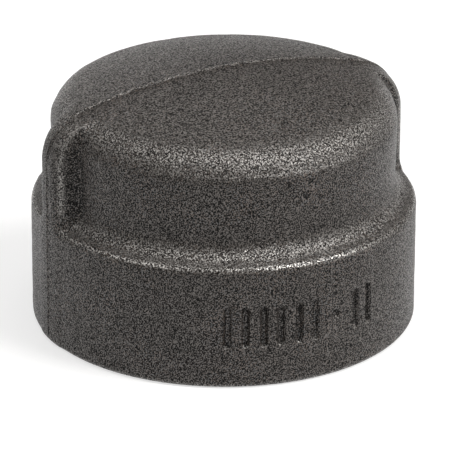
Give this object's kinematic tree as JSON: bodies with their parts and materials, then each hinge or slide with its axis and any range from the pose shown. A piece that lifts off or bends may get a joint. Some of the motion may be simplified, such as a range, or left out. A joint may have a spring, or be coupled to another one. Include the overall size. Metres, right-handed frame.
{
  "type": "pipe cap",
  "caption": "Cast-iron pipe cap: a banded mouth with an internal taper pipe thread, a slightly domed crown and two grip ribs.",
  "frame": {"origin": "centre of the machined mouth face, which is also the bottom centre of the part as it stands", "axes": "+Z along the thread's axis, from the mouth to the crown; the grip ribs stand at +X and -X, and the sunken marks face -Y"},
  "size_m": [0.0504, 0.05, 0.034],
  "materials": {
    "cast_iron": "sand-cast black oxide, with the thread and the mouth face left as machined"
  },
  "bodies": {
    "root": {"cap_body": "cast_iron"}
  },
  "joints": []
}
